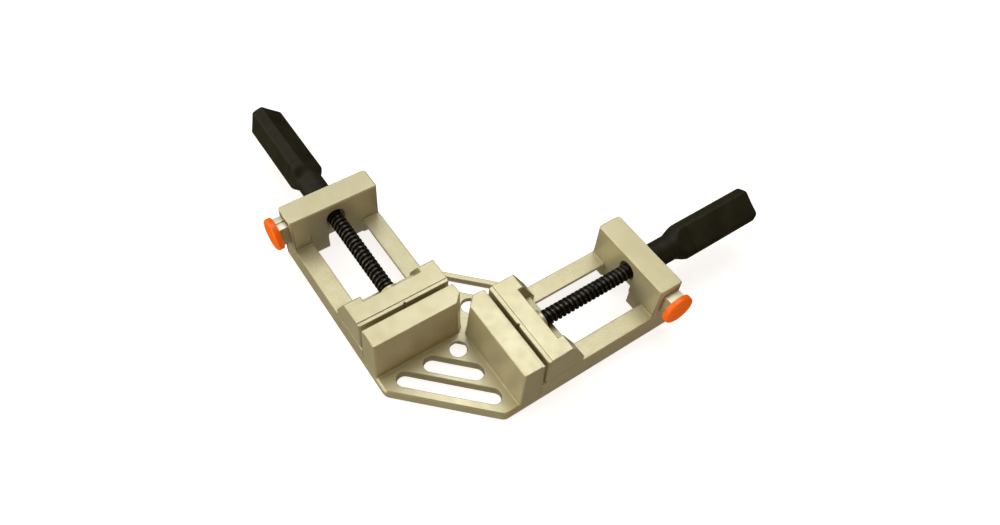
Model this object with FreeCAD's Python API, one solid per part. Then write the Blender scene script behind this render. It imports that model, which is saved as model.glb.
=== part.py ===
import FreeCAD, Part
import math
import os

# Corner clamp that holds two boards or profiles at a right angle, in millimetres.
#
# One cast body carries two arms. Each arm is modelled in its own directions: u runs outward
# along the screw, v runs along the jaws towards the release button, and z is up. The gripping
# planes (u = 0) of the two arms meet at the origin, on the underside of the body.
# The left arm is that frame turned by 135 degrees about z, and the right arm is its mirror image.

Vector = FreeCAD.Vector

# Arms and rails
arm_offset = 24.0          # gripping corner to the far side of an arm
arm_width = 95.0
rail_width = 19.5
rail_top = 28.5            # the work rests at this height
flange_thickness = 3.5
skirt_thickness = 4.0
rail_edge_radius = 1.2

# End block, which carries the screw and the release slide
block_start = 133.4        # inner face, measured along u
block_length = 26.0
block_rise = 21.0          # top above the screw axis
block_corner_radius = 3.0
block_edge = 1.2           # chamfer round the top
block_wall = 4.0
block_floor = 5.8          # under the slide channel
arch_width = 19.0          # arch in the inner wall, open downward
arch_rise = 3.0            # centre of the arch above the screw axis
wall_foot = 8.5            # lower edge of the inner wall between the rails
wall_recess = 1.5
screw_height = 49.0

# Base plate, apex plate and back bar
plate_thickness = 10.5
plate_reach = 27.85        # the front edge past the arms' near corners
plate_corner_radius = 9.5
plate_edge = 2.0           # chamfer round the front
plate_back = 17.5          # corner to the step down to the apex plate
apex_thickness = 6.0
apex_back = 13.9           # corner to the back edge of the apex plate
window_depth = 13.7        # open window behind the apex plate
back_bar_width = 6.0
back_bar_thickness = 7.5
corner_hole_radius = 8.3
base_hole_radius = 8.4
base_hole_inset = 58.5     # the hole and the slots, from the front edge
short_slot_width = 17.2
short_slot_reach = 29.1    # half of its length, round ends included
short_slot_inset = 37.9
long_slot_width = 15.8
long_slot_reach = 49.7
long_slot_inset = 16.8
pocket_skin = 3.5          # plate left over the pocket under the base hole
pocket_wall = 3.0          # between the pocket and the short slot
pocket_depth = 20.0        # along the middle line
pocket_back_width = 10.0
pocket_front_width = 48.0

# Jaws, whose ends and backs lean in towards the top so that the casting leaves its die
jaw_rise = 14.0            # top above the screw axis
jaw_far_reach = 1.5        # a jaw's far end past the far side of its arm, at the top
jaw_near_inset = 1.6       # its near end short of the near side, at the top
jaw_draft = 1.6            # how far each end leans in from foot to top
jaw_corner_radius = 2.0
jaw_edge = 0.8             # chamfer round the top
fixed_jaw_thickness = 21.8  # at the top
fixed_jaw_chamfer = 8.8
fixed_jaw_reach = 2.6      # its far end past the far side of the arm
fixed_jaw_draft = 1.6      # lean of its back
neck_draft = 3.2           # lean of its cut corner, beside the neck of the plate
fixed_jaw_wall = 4.5
fixed_ledge_width = 3.0
fixed_ledge_depth = 1.2

rest_opening = 4.0         # gap between the gripping faces as modelled
jaw_ledge_width = 3.8
jaw_ledge_depth = 1.0
jaw_groove_depth = 1.8
ear_width = 17.0
ear_top_depth = 27.6
ear_depth = 44.0
ear_shoulder = 34.5        # height at which an ear's back slope ends
bridge_depth = 22.0        # jaw between the ears, at the top
foot_depth = 38.2
foot_height = 39.0
bridge_chamfer = 1.5       # between the bridge's back and the foot
tongue_inset = 0.5         # tongue between the flanges, from the jaw's front and back
boss_radius = 10.5
boss_length = 5.0
jaw_wall = 4.5
core_width = 19.0          # solid block behind the gripping face, round the screw's seat

# Keeper under the flanges
keeper_thickness = 3.0
keeper_overlap = 7.5       # reach under each flange
keeper_inset = 4.0         # from the jaw's front and the foot's back
keeper_corner = 3.0
keeper_screw_radius = 2.5
keeper_screw_clearance = 7.3  # from the screws' ends to the spindle
keeper_head_radius = 4.8
keeper_rear_inset = 9.2    # rear screw to the foot's back
keeper_front_inset = 9.5   # front screw to the jaw's front

# Spindle
screw_radius = 8.0
tip_radius = 5.9
tip_depth = 18.7           # length of the plain end held in the jaw
neck_radius = 4.0
neck_length = 4.0
neck_to_shoulder = 8.3
retaining_pin_radius = 2.0
retaining_pin_length = 22.0
thread_end = 164.0         # where the hub of the handle starts
shank_width = 11.0         # square end, on which the handle is moulded
shank_length = 60.0

# Handle
hub_radius = 13.5
hub_edge = 1.0             # chamfer at the block's side
hub_length = 25.0
cone_length = 16.0
grip_radius = 19.7         # over the corners
grip_length = 90.0
wide_flat_distance = 14.4
narrow_flat_distance = 19.3
grip_end_edge = 1.5        # chamfer round the end
left_handle_phase = -48.0  # degrees, from v towards z, as the handle stands in each arm
right_handle_phase = -3.0

# Release slide, button, spring and stop pin
slide_thickness = 17.0
slide_height = 24.0
slide_edge = 0.8
slide_inset = 1.1          # the slide's middle past the block's middle, towards the handle
slide_tail_reach = 19.5    # from the screw to the end at the spring
slide_head_reach = 9.0     # the end under the button, past the arm's near side
slide_groove_width = 1.6
slide_groove_depth = 1.0
release_travel = 4.0
clear_radius = 8.5         # the opening's wide half, free of the thread
button_radius = 16.5
button_thickness = 7.7
button_edge_radius = 2.6
button_dome = 0.8
button_dome_radius = 4.1   # flat middle of the face
button_stud_width = 8.4    # square peg of the slide, which keeps the button from turning
button_stud_length = 4.5
spring_radius = 4.0
spring_wire = 1.0
spring_end_gap = 0.05
spring_turns = 4
spring_steps = 10          # straight lengths in each turn
spring_hole_depth = 14.5
spring_hole_gap = 0.5
spigot_radius = 3.1
spigot_length = 4.0
stop_pin_radius = 2.0
stop_pin_reach = 3.0       # into the slide
stop_pin_inset = 19.0      # from the arm's near side

# Clearances
sliding_gap = 0.2          # flat faces that slide
running_gap = 0.05         # radial, on turning and sliding round fits
pin_gap = 0.02             # radial, round a pin or screw held fast
seat_gap = 0.3             # ends that face each other without touching
end_play = 0.5             # past the travel of the slide, and past the end of a blind hole

# Derived places
diagonal = math.sqrt(0.5)
far_v = arm_offset
near_v = arm_offset + arm_width
mid_v = arm_offset + arm_width / 2
window_far = far_v + rail_width
window_near = near_v - rail_width
block_end = block_start + block_length
block_top = screw_height + block_rise
jaw_top = screw_height + jaw_rise
plate_front = diagonal * near_v + plate_reach
jaw_far = far_v - jaw_far_reach
jaw_near = near_v - jaw_near_inset
fixed_far = far_v - fixed_jaw_reach
flange_low = rail_top - flange_thickness
slide_mid_u = (block_start + block_end) / 2 + slide_inset
slide_low = screw_height - slide_height / 2
slide_tail = mid_v - slide_tail_reach
slide_head = near_v + slide_head_reach
stop_pin_v = near_v - stop_pin_inset
channel_low_u = slide_mid_u - slide_thickness / 2 - sliding_gap
channel_high_u = slide_mid_u + slide_thickness / 2 + sliding_gap
channel_far_v = slide_tail - release_travel - end_play
channel_low = slide_low - sliding_gap
channel_high = screw_height + slide_height / 2 + sliding_gap
spring_floor = channel_far_v - spring_hole_depth
jaw_back = rest_opening + ear_depth
foot_back = rest_opening + foot_depth
jaw_low = rail_top + sliding_gap
keeper_top = flange_low - seat_gap
keeper_low = keeper_top - keeper_thickness
keeper_screw_length = screw_height - screw_radius - keeper_screw_clearance - keeper_low
boss_face = rest_opening + bridge_depth + boss_length
shoulder_u = boss_face + seat_gap
through = 5.0              # how far a cutting tool passes a face
graze = 0.1                # how far a shallow one does
merge = 1.0                # how far joined or cut forms run into each other


def box(low, high):
    """Block between two opposite corners."""
    size = Vector(*high) - Vector(*low)
    return Part.makeBox(size.x, size.y, size.z, Vector(*low))


def rod(radius, start, end):
    """Round bar from one point to another."""
    axis = Vector(*end) - Vector(*start)
    return Part.makeCylinder(radius, axis.Length, Vector(*start), axis)


def prism(points, run):
    """Closed outline of points, drawn out along a vector."""
    corners = [Vector(*point) for point in points]
    face = Part.Face(Part.makePolygon(corners + corners[:1]))
    return face.extrude(Vector(*run))


def tapered(low_points, high_points):
    """Flat-sided solid between an outline and a larger or smaller copy of it higher up."""
    low = [Vector(*point) for point in low_points]
    high = [Vector(*point) for point in high_points]
    loops = [low[::-1], high]
    for corner in range(len(low)):
        before = corner - 1
        loops.append([low[before], low[corner], high[corner], high[before]])
    return Part.makeSolid(Part.makeShell([
        Part.Face(Part.makePolygon(loop + loop[:1])) for loop in loops
    ]))


def turned(outline, centre, axis):
    """Solid of revolution from (along, radius) points that start and end on the axis."""
    axis = Vector(*axis)
    across = Vector(0, 0, 1)
    corners = [Vector(*centre) + axis * along + across * radius for along, radius in outline]
    face = Part.Face(Part.makePolygon(corners + corners[:1]))
    return face.revolve(Vector(*centre), axis, 360)


def edges_along(solid, direction, keep):
    """Straight edges of a solid within a few degrees of a direction, whose middle passes a test."""
    chosen = []
    for edge in solid.Edges:
        if len(edge.Vertexes) != 2:
            continue
        run = edge.Vertexes[1].Point - edge.Vertexes[0].Point
        along = abs(run.dot(Vector(*direction))) > 0.995 * run.Length
        if along and keep(edge.CenterOfMass):
            chosen.append(edge)
    return chosen


def edges_at_height(solid, height):
    """Every edge that lies at one height."""
    box_of = [(edge, edge.BoundBox) for edge in solid.Edges]
    return [edge for edge, b in box_of if abs(b.ZMin - height) < 0.01 and abs(b.ZMax - height) < 0.01]


def obround(half_length, width, centre_y, low, high):
    """Slot cutter along x with round ends."""
    radius = width / 2
    reach = half_length - radius
    parts = [box((-reach, centre_y - radius, low), (reach, centre_y + radius, high))]
    for side in (-1, 1):
        parts.append(rod(radius, (side * reach, centre_y, low), (side * reach, centre_y, high)))
    return parts[0].fuse(parts[1:])


def to_world(u, v):
    """Plan position of a point of the left arm."""
    return -diagonal * (u + v), diagonal * (u - v)


def placed(shape, side):
    """A piece of the arm's frame, in the left arm or mirrored into the right one."""
    piece = shape.copy()
    piece.rotate(Vector(0, 0, 0), Vector(0, 0, 1), 135)
    if side == "right":
        piece = piece.mirror(Vector(0, 0, 0), Vector(1, 0, 0))
    return piece


def turned_over(shape, side):
    """The same bought piece in the right arm: upside down before the mirror keeps its hand."""
    if side == "left":
        return shape
    return shape.mirror(Vector(0, 0, screw_height), Vector(0, 0, 1))


def rail(outer, inward):
    """L-shaped rail: a flange that carries the jaw, and an outer skirt down to the bench."""
    inner = outer + inward * rail_width
    skirt = outer + inward * skirt_thickness
    profile = [
        (0, outer, 0),
        (0, outer, rail_top),
        (0, inner, rail_top),
        (0, inner, flange_low),
        (0, skirt, flange_low),
        (0, skirt, 0),
    ]
    bar = prism(profile, (block_start + block_wall, 0, 0))
    top_edges = edges_along(bar, (1, 0, 0), lambda p: p.z > rail_top - 0.01)
    return bar.makeFillet(rail_edge_radius, top_edges)


def end_block():
    """Tall block across both rails, cored from below."""
    block = box((block_start, far_v, 0), (block_end, near_v, block_top))
    upright = edges_along(block, (0, 0, 1), lambda p: True)
    block = block.makeFillet(block_corner_radius, upright)
    return block.makeChamfer(block_edge, edges_at_height(block, block_top))


def block_cuts():
    """What the end block leaves open: core, arch, recess, slide channel, spring seat, bores."""
    core_top = channel_low - block_floor
    arch_radius = arch_width / 2
    arch_centre = screw_height + arch_rise
    inner_wall_end = channel_low_u + graze
    core = box(
        (block_start + block_wall, far_v + block_wall, -through),
        (block_end - block_wall, near_v - block_wall, core_top),
    )
    below_wall = box(
        (block_start - through, far_v + skirt_thickness, -through),
        (block_start + block_wall + through, near_v - skirt_thickness, wall_foot),
    )
    recess = box(
        (block_start - through, window_far, wall_foot - through),
        (block_start + wall_recess, window_near, rail_top - wall_recess / 2),
    )
    arch_leg = box(
        (block_start - through, mid_v - arch_radius, -through),
        (inner_wall_end, mid_v + arch_radius, arch_centre),
    )
    arch_top = rod(
        arch_radius,
        (block_start - through, mid_v, arch_centre),
        (inner_wall_end, mid_v, arch_centre),
    )
    channel = box(
        (channel_low_u, channel_far_v, channel_low),
        (channel_high_u, near_v + through, channel_high),
    )
    spring_seat = rod(
        spring_radius + spring_wire / 2 + spring_hole_gap,
        (slide_mid_u, spring_floor, screw_height),
        (slide_mid_u, channel_far_v + merge, screw_height),
    )
    screw_bore = rod(
        screw_radius + seat_gap,
        (channel_high_u - merge, mid_v, screw_height),
        (block_end + through, mid_v, screw_height),
    )
    stop_hole = rod(
        stop_pin_radius + pin_gap,
        (channel_high_u - merge, stop_pin_v, screw_height),
        (block_end + through, stop_pin_v, screw_height),
    )
    return [core, below_wall, recess, arch_leg, arch_top, channel, spring_seat, screw_bore, stop_hole]


def fixed_outline(back, near, cut, height):
    """Plan of the fixed jaw at one height; its inner corner is cut off at a distance from the middle."""
    corner = cut / diagonal
    return [
        (0, fixed_far, height),
        (0, near, height),
        (back, near, height),
        (back, corner - back, height),
        (corner - fixed_far, fixed_far, height),
    ]


def fixed_jaw():
    """Upright jaw of the body, its inner corner cut off where the two jaws meet."""
    back = -fixed_jaw_thickness
    cut = (fixed_far + fixed_jaw_chamfer + back) * diagonal
    foot = fixed_outline(back - fixed_jaw_draft, near_v, cut - neck_draft, 0)
    top = fixed_outline(back, near_v - jaw_near_inset, cut, jaw_top)
    jaw = tapered(foot, top)
    upright = edges_along(jaw, (0, 0, 1), lambda p: p.x < -graze or p.y < mid_v)
    jaw = jaw.makeFillet(jaw_corner_radius, upright)
    jaw = jaw.makeChamfer(jaw_edge, edges_at_height(jaw, jaw_top))
    ledge = box(
        (-fixed_ledge_width, fixed_far - through, jaw_top - fixed_ledge_depth),
        (through, near_v + through, jaw_top + through),
    )
    return jaw.cut(ledge)


def fixed_jaw_core():
    """Hollow of the fixed jaw, open at the underside."""
    wall = fixed_jaw_wall
    back = -fixed_jaw_thickness
    outline = [
        (-wall, fixed_far + wall, -through),
        (-wall, near_v - jaw_near_inset - wall, -through),
        (back + wall, near_v - jaw_near_inset - wall, -through),
        (back + wall, fixed_far + fixed_jaw_chamfer + wall / 2, -through),
        (back + fixed_jaw_chamfer + wall / 2, fixed_far + wall, -through),
    ]
    return prism(outline, (0, 0, jaw_top - wall + through))


def mirrored(half):
    """Whole outline from the points of its left half, at bench height."""
    return [(x, y, 0) for x, y in half + [(-x, y) for x, y in reversed(half)]]


def base_plate():
    """Front plate between the fixed jaws, with a rounded front edge."""
    side_u = near_v - plate_front / diagonal
    half = [
        to_world(side_u, near_v),
        to_world(0, near_v),
        to_world(0, plate_back / diagonal),
    ]
    plate = prism(mirrored(half), (0, 0, plate_thickness))
    front = edges_along(plate, (0, 0, 1), lambda p: p.y < merge - plate_front)
    plate = plate.makeFillet(plate_corner_radius, front)
    brink = to_world(0, near_v)[1]
    rim = [edge for edge in edges_at_height(plate, plate_thickness) if edge.CenterOfMass.y < brink]
    return plate.makeChamfer(plate_edge, rim)


def apex_plate():
    """Thinner plate that joins the two arms behind the corner."""
    grip = skirt_thickness / 2
    half = [
        to_world(0, plate_back / diagonal + grip),
        to_world(0, far_v + grip),
        to_world(far_v + grip + apex_back / diagonal, far_v + grip),
    ]
    return prism(mirrored(half), (0, 0, apex_thickness))


def back_bar():
    """Bar that ties the far sides of the two arms together behind the window."""
    grip = skirt_thickness / 2
    front_y = apex_back + window_depth
    half = []
    for y in (front_y, front_y + back_bar_width):
        half.append(to_world(far_v + grip + y / diagonal, far_v + grip))
    return prism(mirrored(half), (0, 0, back_bar_thickness))


def plate_pocket():
    """Pocket cast into the underside, which leaves a thin plate round the base hole."""
    front_y = short_slot_inset + short_slot_width / 2 + pocket_wall - plate_front
    half = [
        (-pocket_front_width / 2, front_y),
        (-pocket_back_width / 2, front_y + pocket_depth),
    ]
    pocket = prism(mirrored(half), (0, 0, plate_thickness - pocket_skin + through))
    return pocket.translated(Vector(0, 0, -through))


def plate_cuts():
    """Holes, slots and pocket of the base plate."""
    low = -through
    high = plate_thickness + through
    base_hole_y = base_hole_inset - plate_front
    return [
        rod(corner_hole_radius, (0, 0, low), (0, 0, high)),
        rod(base_hole_radius, (0, base_hole_y, low), (0, base_hole_y, high)),
        obround(short_slot_reach, short_slot_width, short_slot_inset - plate_front, low, high),
        obround(long_slot_reach, long_slot_width, long_slot_inset - plate_front, low, high),
        plate_pocket(),
    ]


def body_casting():
    """The one-piece casting of both arms."""
    solids = [base_plate(), apex_plate(), back_bar()]
    cuts = plate_cuts()
    for side in ("left", "right"):
        for shape in (rail(far_v, 1), rail(near_v, -1), end_block(), fixed_jaw()):
            solids.append(placed(shape, side))
        for shape in block_cuts() + [fixed_jaw_core()]:
            cuts.append(placed(shape, side))
    casting = solids[0].fuse(solids[1:])
    return casting.cut(cuts).removeSplitter()


def jaw_profile(low, inset, shoulder, depth_at_top, depth):
    """Side view of the moving jaw in (u, z), inset from its front and back."""
    front = rest_opening + inset
    return [
        (front, low),
        (front, jaw_top - inset),
        (rest_opening + depth_at_top - inset, jaw_top - inset),
        (rest_opening + depth - inset, shoulder),
        (rest_opening + depth - inset, low),
    ]


def keeper_screw_places():
    """Distances along the arm of the two screws that hold the keeper."""
    return [rest_opening + keeper_front_inset, foot_back - keeper_rear_inset]


def neck_middle():
    """Middle of the spindle's neck, and how far the retaining pin stands from the screw axis."""
    u = shoulder_u - neck_to_shoulder - neck_length / 2
    return u, neck_radius + retaining_pin_radius + running_gap


def end_wedges(low, high):
    """What the lean of a jaw's two ends takes off, between two heights."""
    wedges = []
    for end, outward in ((jaw_far, -1), (jaw_near, 1)):
        beyond = end + outward * (jaw_draft + through)
        lean = jaw_draft * through / (high - low)
        wedges.append(prism([
            (0, end + outward * jaw_draft, low),
            (0, end - outward * lean, high + through),
            (0, beyond, high + through),
            (0, beyond, low),
        ], (jaw_back + through, 0, 0)))
    return wedges


def moving_jaw():
    """Cast jaw with two ears, a foot between them and a boss for the screw's end."""
    far_end = jaw_far - jaw_draft
    near_end = jaw_near + jaw_draft
    ears = []
    for start, end in ((far_end, jaw_far + ear_width), (jaw_near - ear_width, near_end)):
        outline = jaw_profile(jaw_low, 0, ear_shoulder, ear_top_depth, ear_depth)
        ears.append(prism([(u, start, z) for u, z in outline], (0, end - start, 0)))
    bridge = [
        (rest_opening, jaw_low),
        (rest_opening, jaw_top),
        (rest_opening + bridge_depth, jaw_top),
        (rest_opening + bridge_depth + bridge_chamfer, foot_height + bridge_chamfer),
        (foot_back, foot_height),
        (foot_back, jaw_low),
    ]
    start = far_end + ear_width / 2
    middle = prism([(u, start, z) for u, z in bridge], (0, near_end - ear_width / 2 - start, 0))
    jaw = middle.fuse(ears).cut(end_wedges(jaw_low, jaw_top)).removeSplitter()
    corners = edges_along(jaw, (0, 0, 1), lambda p: p.y < jaw_far + graze or p.y > jaw_near - graze)
    jaw = jaw.makeFillet(jaw_corner_radius, corners)
    jaw = jaw.makeChamfer(jaw_edge, edges_at_height(jaw, jaw_top))
    tongue = box(
        (rest_opening + tongue_inset, window_far + sliding_gap, keeper_top),
        (foot_back - tongue_inset, window_near - sliding_gap, jaw_low + merge),
    )
    boss = rod(
        boss_radius,
        (rest_opening + bridge_depth - merge, mid_v, screw_height),
        (boss_face, mid_v, screw_height),
    )
    return jaw.fuse([tongue, boss]).cut(jaw_cuts()).removeSplitter()


def jaw_cuts():
    """Ledge, groove, hollows and holes of the moving jaw."""
    cuts = [
        box(
            (rest_opening - through, jaw_far - through, jaw_top - jaw_ledge_depth),
            (rest_opening + jaw_ledge_width, jaw_near + through, jaw_top + through),
        )
    ]
    groove_v = (jaw_far + jaw_near) / 2
    groove = [
        (rest_opening - graze, groove_v - jaw_groove_depth - graze, keeper_low),
        (rest_opening + jaw_groove_depth, groove_v, keeper_low),
        (rest_opening - graze, groove_v + jaw_groove_depth + graze, keeper_low),
    ]
    cuts.append(prism(groove, (0, 0, jaw_top)))
    for start in (jaw_far, jaw_near - ear_width):
        hollow = jaw_profile(
            jaw_low - merge, jaw_wall, ear_shoulder - merge, ear_top_depth, ear_depth)
        first = start + jaw_wall
        cuts.append(prism([(u, first, z) for u, z in hollow], (0, ear_width - 2 * jaw_wall, 0)))
    for side in (-1, 1):
        inner = mid_v + side * core_width / 2
        outer = window_far + jaw_wall if side < 0 else window_near - jaw_wall
        cuts.append(box(
            (rest_opening + jaw_wall, min(inner, outer), keeper_top - merge),
            (rest_opening + bridge_depth - jaw_wall, max(inner, outer), jaw_top - jaw_wall),
        ))
    cuts.append(rod(
        tip_radius + running_gap,
        (shoulder_u - tip_depth - seat_gap, mid_v, screw_height),
        (boss_face + through, mid_v, screw_height),
    ))
    neck_u, reach = neck_middle()
    cuts.append(rod(
        retaining_pin_radius + pin_gap,
        (neck_u, mid_v + reach, keeper_top - merge),
        (neck_u, mid_v + reach, screw_height + retaining_pin_length / 2 + graze),
    ))
    for u in keeper_screw_places():
        cuts.append(rod(
            keeper_screw_radius + pin_gap,
            (u, mid_v, keeper_top - merge),
            (u, mid_v, keeper_low + keeper_screw_length + end_play),
        ))
    return cuts


def jaw_keeper():
    """Plate that reaches under both flanges, with countersunk holes."""
    plate = box(
        (rest_opening + keeper_inset, window_far - keeper_overlap, keeper_low),
        (foot_back - keeper_inset, window_near + keeper_overlap, keeper_top),
    )
    plate = plate.makeChamfer(keeper_corner, edges_along(plate, (0, 0, 1), lambda p: True))
    cuts = [keeper_screw(u, pin_gap) for u in keeper_screw_places()]
    return plate.cut(cuts)


def keeper_screw(u, extra):
    """Countersunk screw, or the hole for one when it is drawn a little larger."""
    head = keeper_head_radius + extra
    shank = keeper_screw_radius + extra
    low = -extra
    outline = [
        (low, 0),
        (low, head),
        (low + head - shank, shank),
        (keeper_screw_length, shank),
        (keeper_screw_length, 0),
    ]
    corners = [Vector(u + radius, mid_v, keeper_low + height) for height, radius in outline]
    face = Part.Face(Part.makePolygon(corners + corners[:1]))
    return face.revolve(Vector(u, mid_v, 0), Vector(0, 0, 1), 360)


def keeper_screws():
    """The two screws of one keeper."""
    return Part.makeCompound([keeper_screw(u, 0) for u in keeper_screw_places()])


def retaining_pin():
    """Upright pin beside the neck of the spindle, which holds the spindle in the jaw."""
    u, reach = neck_middle()
    half = retaining_pin_length / 2
    centre = (u, mid_v + reach)
    return rod(
        retaining_pin_radius,
        (*centre, screw_height - half),
        (*centre, screw_height + half),
    )


def spindle():
    """Screw with a plain necked end for the jaw and a square shank for the handle."""
    tip = shoulder_u - tip_depth
    neck_end = shoulder_u - neck_to_shoulder
    neck_start = neck_end - neck_length
    outline = [
        (tip, 0),
        (tip, tip_radius),
        (neck_start, tip_radius),
        (neck_start, neck_radius),
        (neck_end, neck_radius),
        (neck_end, tip_radius),
        (shoulder_u, tip_radius),
        (shoulder_u, screw_radius),
        (thread_end, screw_radius),
        (thread_end, 0),
    ]
    screw = turned(outline, (0, mid_v, screw_height), (1, 0, 0))
    return screw.fuse(square_shank(0))


def square_shank(extra):
    """Square end of the screw, or the handle's socket when it is drawn a little larger."""
    half = shank_width / 2 + extra
    return box(
        (thread_end - merge, mid_v - half, screw_height - half),
        (thread_end + shank_length + extra, mid_v + half, screw_height + half),
    )


def grip_section(phase):
    """Corners of the grip in (v, z): three wide flats and three narrow ones, turn about."""
    corners = []
    sixty = math.radians(60)
    for step in range(3):
        narrow_angle = math.radians(phase + 120 * step)
        outward = Vector(0, math.cos(narrow_angle), math.sin(narrow_angle))
        across = Vector(0, -math.sin(narrow_angle), math.cos(narrow_angle))
        half = (wide_flat_distance - narrow_flat_distance * math.cos(sixty)) / math.sin(sixty)
        for end in (-1, 1):
            corners.append(outward * narrow_flat_distance + across * half * end)
    return corners


def grip(phase):
    """Three-sided grip: the cone pares down its start, and a round skin takes off its corners."""
    start = thread_end + hub_length
    end = start + cone_length + grip_length
    centre = Vector(start, mid_v, screw_height)
    corners = [tuple(centre + corner) for corner in grip_section(phase)]
    bar = prism(corners, (end - start, 0, 0))
    end_edges = [edge for edge in bar.Edges if edge.BoundBox.XMin > end - 0.01]
    bar = bar.makeChamfer(grip_end_edge, end_edges)
    skin = [
        (0, 0),
        (0, hub_radius),
        (cone_length, grip_radius),
        (end - start + merge, grip_radius),
        (end - start + merge, 0),
    ]
    return bar.common(turned(skin, tuple(centre), (1, 0, 0)))


def handle(phase):
    """Hub, cone and three-sided grip: wide flats run into the cone in arches."""
    hub_end = thread_end + hub_length
    outline = [
        (thread_end, 0),
        (thread_end, hub_radius - hub_edge),
        (thread_end + hub_edge, hub_radius),
        (hub_end, hub_radius),
        (hub_end, 0),
    ]
    hub = turned(outline, (0, mid_v, screw_height), (1, 0, 0))
    return hub.fuse(grip(phase)).cut(square_shank(running_gap))


def release_slide():
    """Square bar with an opening for the screw: half of it bites, half of it is free."""
    low = (slide_mid_u - slide_thickness / 2, slide_tail, slide_low)
    high = (slide_mid_u + slide_thickness / 2, slide_head, slide_low + slide_height)
    bar = box(low, high)
    bar = bar.makeChamfer(slide_edge, edges_along(bar, (0, 1, 0), lambda p: True))
    spigot = rod(
        spigot_radius,
        (slide_mid_u, slide_tail - spigot_length, screw_height),
        (slide_mid_u, slide_tail + merge, screw_height),
    )
    groove = box(
        (slide_mid_u - slide_groove_width / 2, slide_tail - merge, high[2] - slide_groove_depth),
        (slide_mid_u + slide_groove_width / 2, slide_head + merge, high[2] + merge),
    )
    bar = bar.fuse([spigot, button_stud(0)])
    return bar.cut([groove, stop_slot()] + screw_opening())


def button_stud(extra):
    """Square peg that holds the button, or its socket when it is drawn a little larger."""
    half = button_stud_width / 2 + extra
    return box(
        (slide_mid_u - half, slide_head - merge, screw_height - half),
        (slide_mid_u + half, slide_head + button_stud_length + extra, screw_height + half),
    )


def screw_opening():
    """Opening of the slide: a half nut towards the spring, a clear half towards the button."""
    low = slide_mid_u - slide_thickness
    high = slide_mid_u + slide_thickness
    bite = screw_radius + running_gap
    clear_v = mid_v + release_travel + clear_radius - screw_radius
    half_nut = rod(bite, (low, mid_v, screw_height), (high, mid_v, screw_height))
    clear = rod(clear_radius, (low, clear_v, screw_height), (high, clear_v, screw_height))
    between = [
        (low, mid_v, screw_height - bite),
        (low, mid_v, screw_height + bite),
        (low, clear_v, screw_height + clear_radius),
        (low, clear_v, screw_height - clear_radius),
    ]
    return [half_nut, clear, prism(between, (high - low, 0, 0))]


def stop_slot():
    """Slot in the slide's outer face, in which the stop pin runs."""
    depth = stop_pin_reach - sliding_gap + seat_gap
    outer = slide_mid_u + slide_thickness / 2
    radius = stop_pin_radius + running_gap
    start = stop_pin_v - end_play
    end = stop_pin_v + release_travel + seat_gap
    shapes = []
    for v in (start, end):
        shapes.append(rod(radius, (outer - depth, v, screw_height), (outer + merge, v, screw_height)))
    shapes.append(box(
        (outer - depth, start, screw_height - radius),
        (outer + merge, end, screw_height + radius),
    ))
    return shapes[0].fuse(shapes[1:])


def release_button():
    """Round push button with a slightly domed face, on the slide's stud."""
    rim = button_edge_radius
    face = button_thickness - button_dome
    outline = [
        (0, 0),
        (0, button_radius),
        (face - rim, button_radius),
    ]
    for angle in (math.radians(35), math.radians(75)):
        along = face - rim + rim * math.sin(angle)
        outline.append((along, button_radius - rim + rim * math.cos(angle)))
    outline.append((button_thickness, button_dome_radius))
    outline.append((button_thickness, 0))
    centre = (slide_mid_u, slide_head, screw_height)
    button = turned(outline, centre, (0, 1, 0))
    return button.cut(button_stud(pin_gap))


def release_spring():
    """Coil spring between the bottom of its seat and the tail of the slide."""
    half = spring_wire / 2
    low = spring_floor + half + spring_end_gap
    high = slide_tail - half - spring_end_gap
    steps = spring_turns * spring_steps
    points = []
    for step in range(steps + 1):
        angle = 2 * math.pi * step / spring_steps
        points.append(Vector(
            slide_mid_u + spring_radius * math.cos(angle),
            low + (high - low) * step / steps,
            screw_height - spring_radius * math.sin(angle),
        ))
    first = points[1] - points[0]
    radial = Vector(1, 0, 0)
    third = first.cross(radial).normalize()
    corners = []
    for out, up in ((-half, -half), (half, -half), (half, half), (-half, half)):
        corners.append(points[0] + radial * out + third * up)
    section = Part.makePolygon(corners + corners[:1])
    return Part.makePolygon(points).makePipeShell([section], True, False, 1)


def slide_stop_pin():
    """Pin pressed into the block's outer wall, with its tip in the slide's slot."""
    tip = slide_mid_u + slide_thickness / 2 + sliding_gap - stop_pin_reach
    return rod(stop_pin_radius, (tip, stop_pin_v, screw_height), (block_end, stop_pin_v, screw_height))


def arm_pieces(side):
    """Every loose piece of one arm, by name."""
    phase = left_handle_phase if side == "left" else right_handle_phase
    return {
        "moving_jaw": moving_jaw(),
        "jaw_keeper": jaw_keeper(),
        "keeper_screws": keeper_screws(),
        "retaining_pin": retaining_pin(),
        "spindle": spindle(),
        "handle": handle(phase),
        "release_slide": turned_over(release_slide(), side),
        "release_button": release_button(),
        "release_spring": turned_over(release_spring(), side),
        "slide_stop_pin": slide_stop_pin(),
    }


def main():
    os.makedirs("parts", exist_ok=True)
    body_casting().exportStep("parts/body_casting.step")
    for side in ("left", "right"):
        for name, shape in arm_pieces(side).items():
            placed(shape, side).exportStep(f"parts/{side}_{name}.step")


main()
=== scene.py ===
# %% [markdown]
# # A corner clamp, dressed for a product picture
# The clamp is a V-shaped die-cast body with two screw-driven jaws. Its measured solids are already
# loaded as a frame, so every piece made here is placed by that frame and not by eye.
# The lesson makes the finishes first, and then each piece in turn: the soft-edged castings, the
# threaded spindles, the moulded handles, the push buttons and the springs. Floor, light and camera
# come last.

# %% Load the measured frame
import bpy
import bmesh
import numpy as np
from mathutils import Matrix, Vector
from mathutils.geometry import delaunay_2d_cdt


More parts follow.
